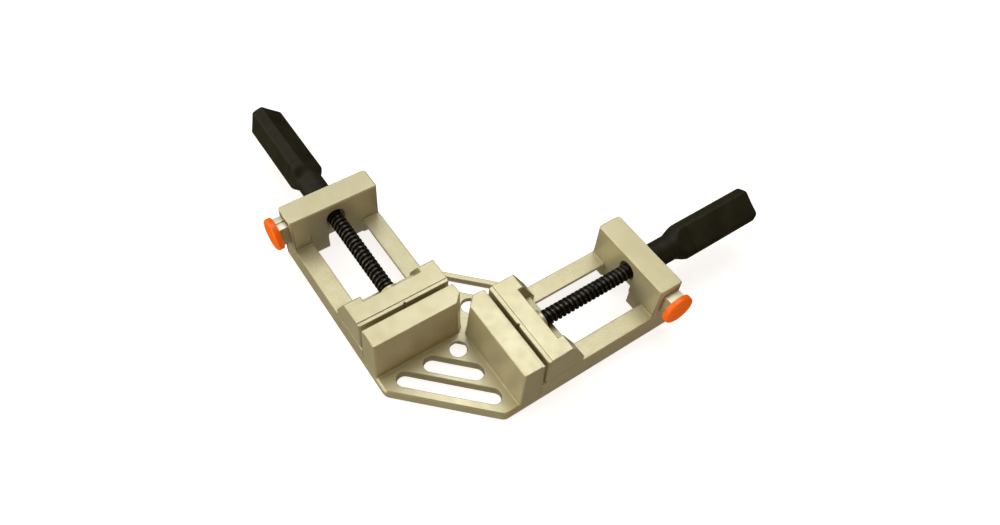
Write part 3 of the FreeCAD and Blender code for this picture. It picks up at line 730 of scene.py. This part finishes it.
# %% [markdown]
# Along the axis the handle is a round hub with a shallow groove, then a swelling shoulder up to the
# grip. The shoulder is one more radius in the soft least, so each wide flat runs into it in an
# arch, as on the real handle. The two handles were screwed to different turns when the photograph
# was taken, which their phases give.

# %% Handles
HUB_RADIUS, GRIP_RADIUS = 13.45, 19.6
HUB_LENGTH, SHOULDER_LENGTH = 25.0, 13.0
FLATS_BEFORE = 3.0                      # the flats begin this far before the hub's end
FRONT_CHAMFER, BORE_DEPTH, BORE_RADIUS = 1.0, 6.0, 7.9
GROOVE_PLACE, GROOVE_DEPTH, GROOVE_WIDTH = 10.0, 0.45, 0.55
END_LENGTH, END_INSET = 3.2, 3.0        # the rounding at the grip's end
HANDLE_PHASE = {"left": -48.0, "right": -3.0}   # degrees from v to a narrow flat


def handle_places(front, rear):
    """Places of the rows along u: close at the groove, the shoulder and the end."""
    hub_end = front + HUB_LENGTH
    quarter = np.linspace(0, np.pi / 2, 9)
    return np.concatenate([
        front + np.array([0, 0.15, 0.5, 1.0, 4, 8.8, 9.2, 9.6, 10.4, 10.8, 11.2, 16, 20]),
        hub_end + np.linspace(-FLATS_BEFORE, 19, 34),
        np.linspace(hub_end + SHOULDER_LENGTH + 5, rear - 6, 12),
        rear - END_LENGTH * (1 - np.sin(quarter))])


def round_radius(u, front):
    """Radius of the round parts: chamfered hub, eased shoulder up to the grip, less the groove."""
    hub = np.interp(u, [front, front + FRONT_CHAMFER], [HUB_RADIUS - FRONT_CHAMFER, HUB_RADIUS])
    rise = eased((u - front - HUB_LENGTH) / SHOULDER_LENGTH)
    skin = hub + (GRIP_RADIUS - HUB_RADIUS) * rise
    groove = GROOVE_DEPTH * np.exp(-((u - front - GROOVE_PLACE) / GROOVE_WIDTH) ** 2)
    return soft_least([skin, np.full_like(u, GRIP_RADIUS)], CONE_POWER) - groove


def end_inset(u, rear):
    """How far the end's rounding draws in: a quarter ellipse over the last millimetres."""
    share = np.clip((u - rear + END_LENGTH) / END_LENGTH, 0, 1)
    return END_INSET * (1 - np.sqrt(np.clip(1 - share ** 2, 0, 1)))


print("handle: hub", HUB_LENGTH, "mm long, shoulder", SHOULDER_LENGTH, "mm")

# %% [markdown]
# The rows are then put together: the bore in the hub's face, the outside from front to rear, and
# the end face, which shrinks in three rings to its middle.

# %% Make the handles
def handle(side):
    """Radius = soft least of the round radius and the section, less the end's rounding."""
    front, rear = reach(f"{side}_handle", side, U)
    u = handle_places(front, rear)
    round_part = round_radius(u, front)[:, None] + 0 * grip_angle[None, :]
    section = grip_radius(grip_angle, HANDLE_PHASE[side])
    radius = soft_least([round_part, section[None, :]], CONE_POWER)
    all_round = u < front + HUB_LENGTH - FLATS_BEFORE
    radius = np.where(all_round[:, None], round_part, radius)
    radius = radius - end_inset(u, rear)[:, None]
    turn = (grip_angle / 360)[None, :] + 0 * u[:, None]
    rings = round_points(u[:, None] + 0 * turn, radius, turn)
    bore = turned_skin([(front + BORE_DEPTH, BORE_RADIUS), (front, BORE_RADIUS)], GRIP_STEPS)
    middle = np.array([rear, screw_v, screw_w])
    end_face = np.stack([middle + (rings[-1] - middle) * share for share in (0.66, 0.33, 0.0)])
    points, faces = joined([(np.concatenate([bore, rings, end_face]), True)])
    piece = piece_of(f"{side}_grip_handle", in_arm(side, points), faces, f"{side}_screw",
                     40)
    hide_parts(f"{side}_handle")
    return give(piece, nylon)


for side in SIDES:
    tell(handle(side))

# %% [markdown]
# ## Push buttons
# Each button is a moulded disc on the slide's end. A turned profile gives it: flat back, straight
# rim, a rounded edge and a slightly domed face, whose height falls with the square of the radius.
# A cylinder with rounded edges would be near it, but its flat face would shine all at once.

# %% Push buttons
BUTTON_STEPS = 96
BACK_EDGE, BACK_SOFT = 0.7, 0.2         # millimetres of the back edge's rounding
FACE_EDGE, FACE_DROP, DOME = 2.6, 3.4, 0.75     # the front edge's rounding and the dome's height
ARC_END, DOME_START = 82, 0.94          # degrees of the edge's arc, and where the dome takes over


def button_profile(inner, outer, radius):
    """(distance along v, radius) from the middle of the back to the middle of the face."""
    bend = np.radians(np.linspace(0, ARC_END, 9))
    back = [(inner, 0), (inner, radius - BACK_EDGE), (inner + BACK_SOFT, radius - BACK_SOFT),
            (inner + BACK_EDGE, radius)]
    flat = radius - FACE_EDGE
    rim = np.stack([outer - FACE_DROP + FACE_EDGE * np.sin(bend), flat + FACE_EDGE * np.cos(bend)],
                   axis=1)
    share = np.linspace(DOME_START, 0, 12)
    dome = np.stack([outer - DOME * share ** 2, flat * share], axis=1)
    return np.concatenate([back, rim, dome])


def button(side):
    """The profile turned about the slide's axis, which runs along v."""
    inner, outer = reach(f"{side}_release_button", side, V)
    low_u, high_u = reach(f"{side}_release_button", side, U)
    radius, middle = (high_u - low_u) / 2, (high_u + low_u) / 2
    profile = button_profile(inner, outer, radius)
    angle = 2 * np.pi * np.arange(BUTTON_STEPS) / BUTTON_STEPS
    u = middle + profile[:, 1:] * np.cos(angle)
    w = screw_w + profile[:, 1:] * np.sin(angle)
    points, faces = joined([(np.stack([u, profile[:, :1] + 0 * u, w], axis=-1), True)])
    piece = piece_of(f"{side}_push_button", in_arm(side, points), faces, f"{side}_release",
                     40)
    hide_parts(f"{side}_release_button")
    return give(piece, orange)


for side in SIDES:
    tell(button(side))

# %% [markdown]
# ## Release springs
# Each spring pushes its slide outward, and closes up by 4 mm when the button is pressed. A solid
# that stays as it is would then stand in the slide. The end turns lie close, as on a spring that
# is wound with closed ends.

# %% Release springs
WIRE_RADIUS, WIRE_STEPS = 0.5, 12
SPRING_TURNS, SPRING_STEPS, END_PITCH = 6, 32, 1.4      # turns, steps in each, and millimetres


def helix(side, low, high):
    """Turn and place along v of the wire's middle line: v rises by END_PITCH in each end turn."""
    turn = np.linspace(0, SPRING_TURNS, SPRING_TURNS * SPRING_STEPS + 1)
    v = np.interp(turn, [0, 1, SPRING_TURNS - 1, SPRING_TURNS],
                  [low, low + END_PITCH, high - END_PITCH, high])
    return 2 * np.pi * turn * (-1 if side == "left" else 1), v


def spring(side):
    """A round wire about the helix: middle + wire radius * (outward * cos + along v * sin).
    The radius is 0 at both ends, which closes them."""
    node = f"{side}_release_spring"
    (low_u, high_u), (low_v, high_v) = reach(node, side, U), reach(node, side, V)
    middle, radius = (low_u + high_u) / 2, (high_u - low_u) / 2 - WIRE_RADIUS
    angle, v = helix(side, low_v + WIRE_RADIUS, high_v - WIRE_RADIUS)
    about = 2 * np.pi * np.arange(WIRE_STEPS) / WIRE_STEPS
    thick = np.full((len(angle), 1), WIRE_RADIUS)
    thick[[0, -1]] = 0
    out = radius + thick * np.cos(about)
    wire = np.stack([middle + out * np.cos(angle)[:, None], v[:, None] + thick * np.sin(about),
                     screw_w + out * np.sin(angle)[:, None]], axis=-1)
    points, faces = joined([(wire, True)])
    piece = piece_of(f"{side}_coil_spring", in_arm(side, points), faces, "frame",
                     40)
    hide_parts(node)
    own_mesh(piece)
    return give(piece, ground)


for side in SIDES:
    tell(spring(side))

# %% [markdown]
# ## Small steel parts
# The keepers, their screws and the pins are right as measured, so they only take a finish.

# %% Finishes of the small parts
for side in SIDES:
    for part, finish in (("jaw_keeper", plated), ("keeper_screws", plated),
                         ("retaining_pin", ground), ("slide_stop_pin", ground)):
        give(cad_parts[f"{side}_{part}"], finish)
print("small parts finished")

# %% [markdown]
# ## Floor
# The picture is cut out on white, so the floor is a plain white sheet. A sheet that only reflects
# would show grey shadows and throw strong light back up. This one reflects less than half of the
# light and glows itself, so that it is white to the eye and its shadows stay faint. The clamp's
# reflections leave it out.

# %% Floor
FLOOR_HALF = 12.0                       # metres from the middle to a side
corners = np.array([[-1, -1, 0], [1, -1, 0], [1, 1, 0], [-1, 1, 0]]) * FLOOR_HALF
sheet = bpy.data.meshes.new("white_floor")
sheet.from_pydata(corners.tolist(), [], [[0, 1, 2, 3]])
floor = bpy.data.objects.new("white_floor", sheet)
bpy.context.scene.collection.objects.link(floor)
paper, tree, surface, place = start_finish(
    "matt_white_paper", Roughness=0.9, Specular_IOR_Level=0.1,
    Emission_Color=linear("#FFFBF9"), Emission_Strength=0.86)
fibres = add(tree, "TexNoise", Vector=place, Scale=1 / 60, Detail=2)
white = add(tree, "Mix", COLOUR, Factor=fibres, A=linear("#A9A9A7"), B=linear("#ADADAC"))
feed(tree, surface, Base_Color=white)
floor.data.materials.append(paper)
floor.visible_glossy = False
print("floor", FLOOR_HALF * 2, "m square")

# %% [markdown]
# ## Light
# The studio is a dome of soft lamps: some above and behind, one at each side, and low ones in
# front. In the photograph tops are bright, near sides are in half shade, and the faces turned to
# the camera are the darkest, and the strengths were balanced for that. Lamps could stand round the
# clamp as objects, but one colour for each direction of the sky is simpler to balance. Each lamp is
# a share of the sky round its own direction: a dot product tells how far a ray leans from it, and a
# smooth step fades its rim. The dark room between them gives the satin lacquer its shaded sides.

# %% Dome of soft lamps
world = bpy.data.worlds.new("studio_dome")
bpy.context.scene.world = world
world.use_nodes = True
sky = world.node_tree
ray = add(sky, "TexCoord").outputs["Generated"]
# towards, inner and outer angle in degrees, strength and colour of each soft lamp
LAMPS = [
    ((-0.21, 0.37, 0.91), 3, 33, 2.60, "#F6FCFF"),
    ((0.21, 0.37, 0.91), 3, 33, 1.15, "#FDF8E9"),
    ((0.0, 0.0, 1.0), 3, 28, 0.45, "#F6FCFF"),
    ((-0.88, -0.12, 0.42), 5, 34, 2.60, "#FFFAEA"),
    ((-0.70, -0.70, 0.10), 3, 20, 5.20, "#FFFBE4"),
    ((0.97, 0.0, 0.225), 3, 30, 0.35, "#FFC878"),
    ((0.70, -0.70, 0.10), 3, 20, 1.70, "#FFCE80"),
]


def lamp_share(towards, inner, outer):
    """1 within inner degrees of a direction, 0 past outer degrees, and eased between them."""
    axis = np.array(towards, float) / np.linalg.norm(towards)
    lean = add(sky, "VectorMath", {"operation": "DOT_PRODUCT"}, Vector=(ray, axis.tolist()))
    return add(sky, "MapRange", {"interpolation_type": "SMOOTHSTEP"}, Value=lean,
               From_Min=np.cos(np.radians(outer)), From_Max=np.cos(np.radians(inner)))


shade = (0, 0, 0, 1)
for towards, inner, outer, strength, colour in LAMPS:
    glow = [strength * part for part in linear(colour)[:3]]
    shade = add(sky, "Mix", {**COLOUR, "blend_type": "ADD"},
                Factor=lamp_share(towards, inner, outer), A=shade, B=(*glow, 1))
# past the floor's edge the studio's wall is seen as white, while everything is lit by the lamps
seen = add(sky, "LightPath").outputs["Is Camera Ray"]
feed(sky, sky.nodes["Background"],
     Color=add(sky, "Mix", COLOUR, Factor=seen, A=shade, B=(1, 1, 1, 1)))
print("lamps in the dome:", len(LAMPS))

# %% [markdown]
# The dome is far away and lights every place alike. One small softbox hangs 0.45 m over the floor,
# above the back of the clamp, near enough for the tops there to get more of its light than those in
# front. A lamp shines along its own -Z, so its back axis points away from what it lights.

# %% Softbox
def stand(holder, right_up_back, place):
    """Stands a lamp or the camera at a place; the three rows are its own axes in the world."""
    columns = np.transpose(right_up_back)
    holder.matrix_world = Matrix([[*columns[i], place[i]] for i in range(3)] + [[0, 0, 0, 1]])
    bpy.context.scene.collection.objects.link(holder)


def softbox(name, place, aim, size, watts, colour):
    """Square area light at place that looks at aim: back = place - aim, right = up x back."""
    lamp = bpy.data.lights.new(name, "AREA")
    lamp.size, lamp.energy, lamp.color = size, watts, linear(colour)[:3]
    back = np.array(place, float) - np.array(aim, float)
    back /= np.linalg.norm(back)
    right = np.cross([0, 1, 0] if abs(back[2]) > 0.9 else [0, 0, 1], back)
    right /= np.linalg.norm(right)
    stand(bpy.data.objects.new(name, lamp), [right, np.cross(back, right), back], place)


softbox("top_softbox", (0.05, 0.15, 0.45), (0.025, 0.12, 0.03), 0.2, 0.30, "#EAF4FF")

# %% [markdown]
# ## Camera
# The camera was worked out from some forty corners of the clamp in the photograph: its place, its
# tilt and the focal length that puts them where they are seen. Its three axes are written as rows:
# right, up and back.

# %% Camera
CAMERA_PLACE = (0.06393, -0.44663, 0.70381)
CAMERA_AXES = [[0.982117, 0.176157, 0.066449],
               [-0.181431, 0.791239, 0.583972],
               [0.050294, -0.585584, 0.80905]]
FOCAL_PIXELS, PICTURE_WIDTH, SENSOR = 835.86, 1000, 36.0
lens = bpy.data.cameras.new("photo_camera")
lens.sensor_width = SENSOR
lens.lens = FOCAL_PIXELS * SENSOR / PICTURE_WIDTH
lens.clip_start, lens.clip_end = 0.01, 20
camera = bpy.data.objects.new("photo_camera", lens)
stand(camera, CAMERA_AXES, CAMERA_PLACE)
bpy.context.scene.camera = camera
bpy.context.scene.view_settings.view_transform = "Standard"
print("lens", round(lens.lens, 2), "mm")

# %% [markdown]
# ## The end

# %% End
print("scene built")
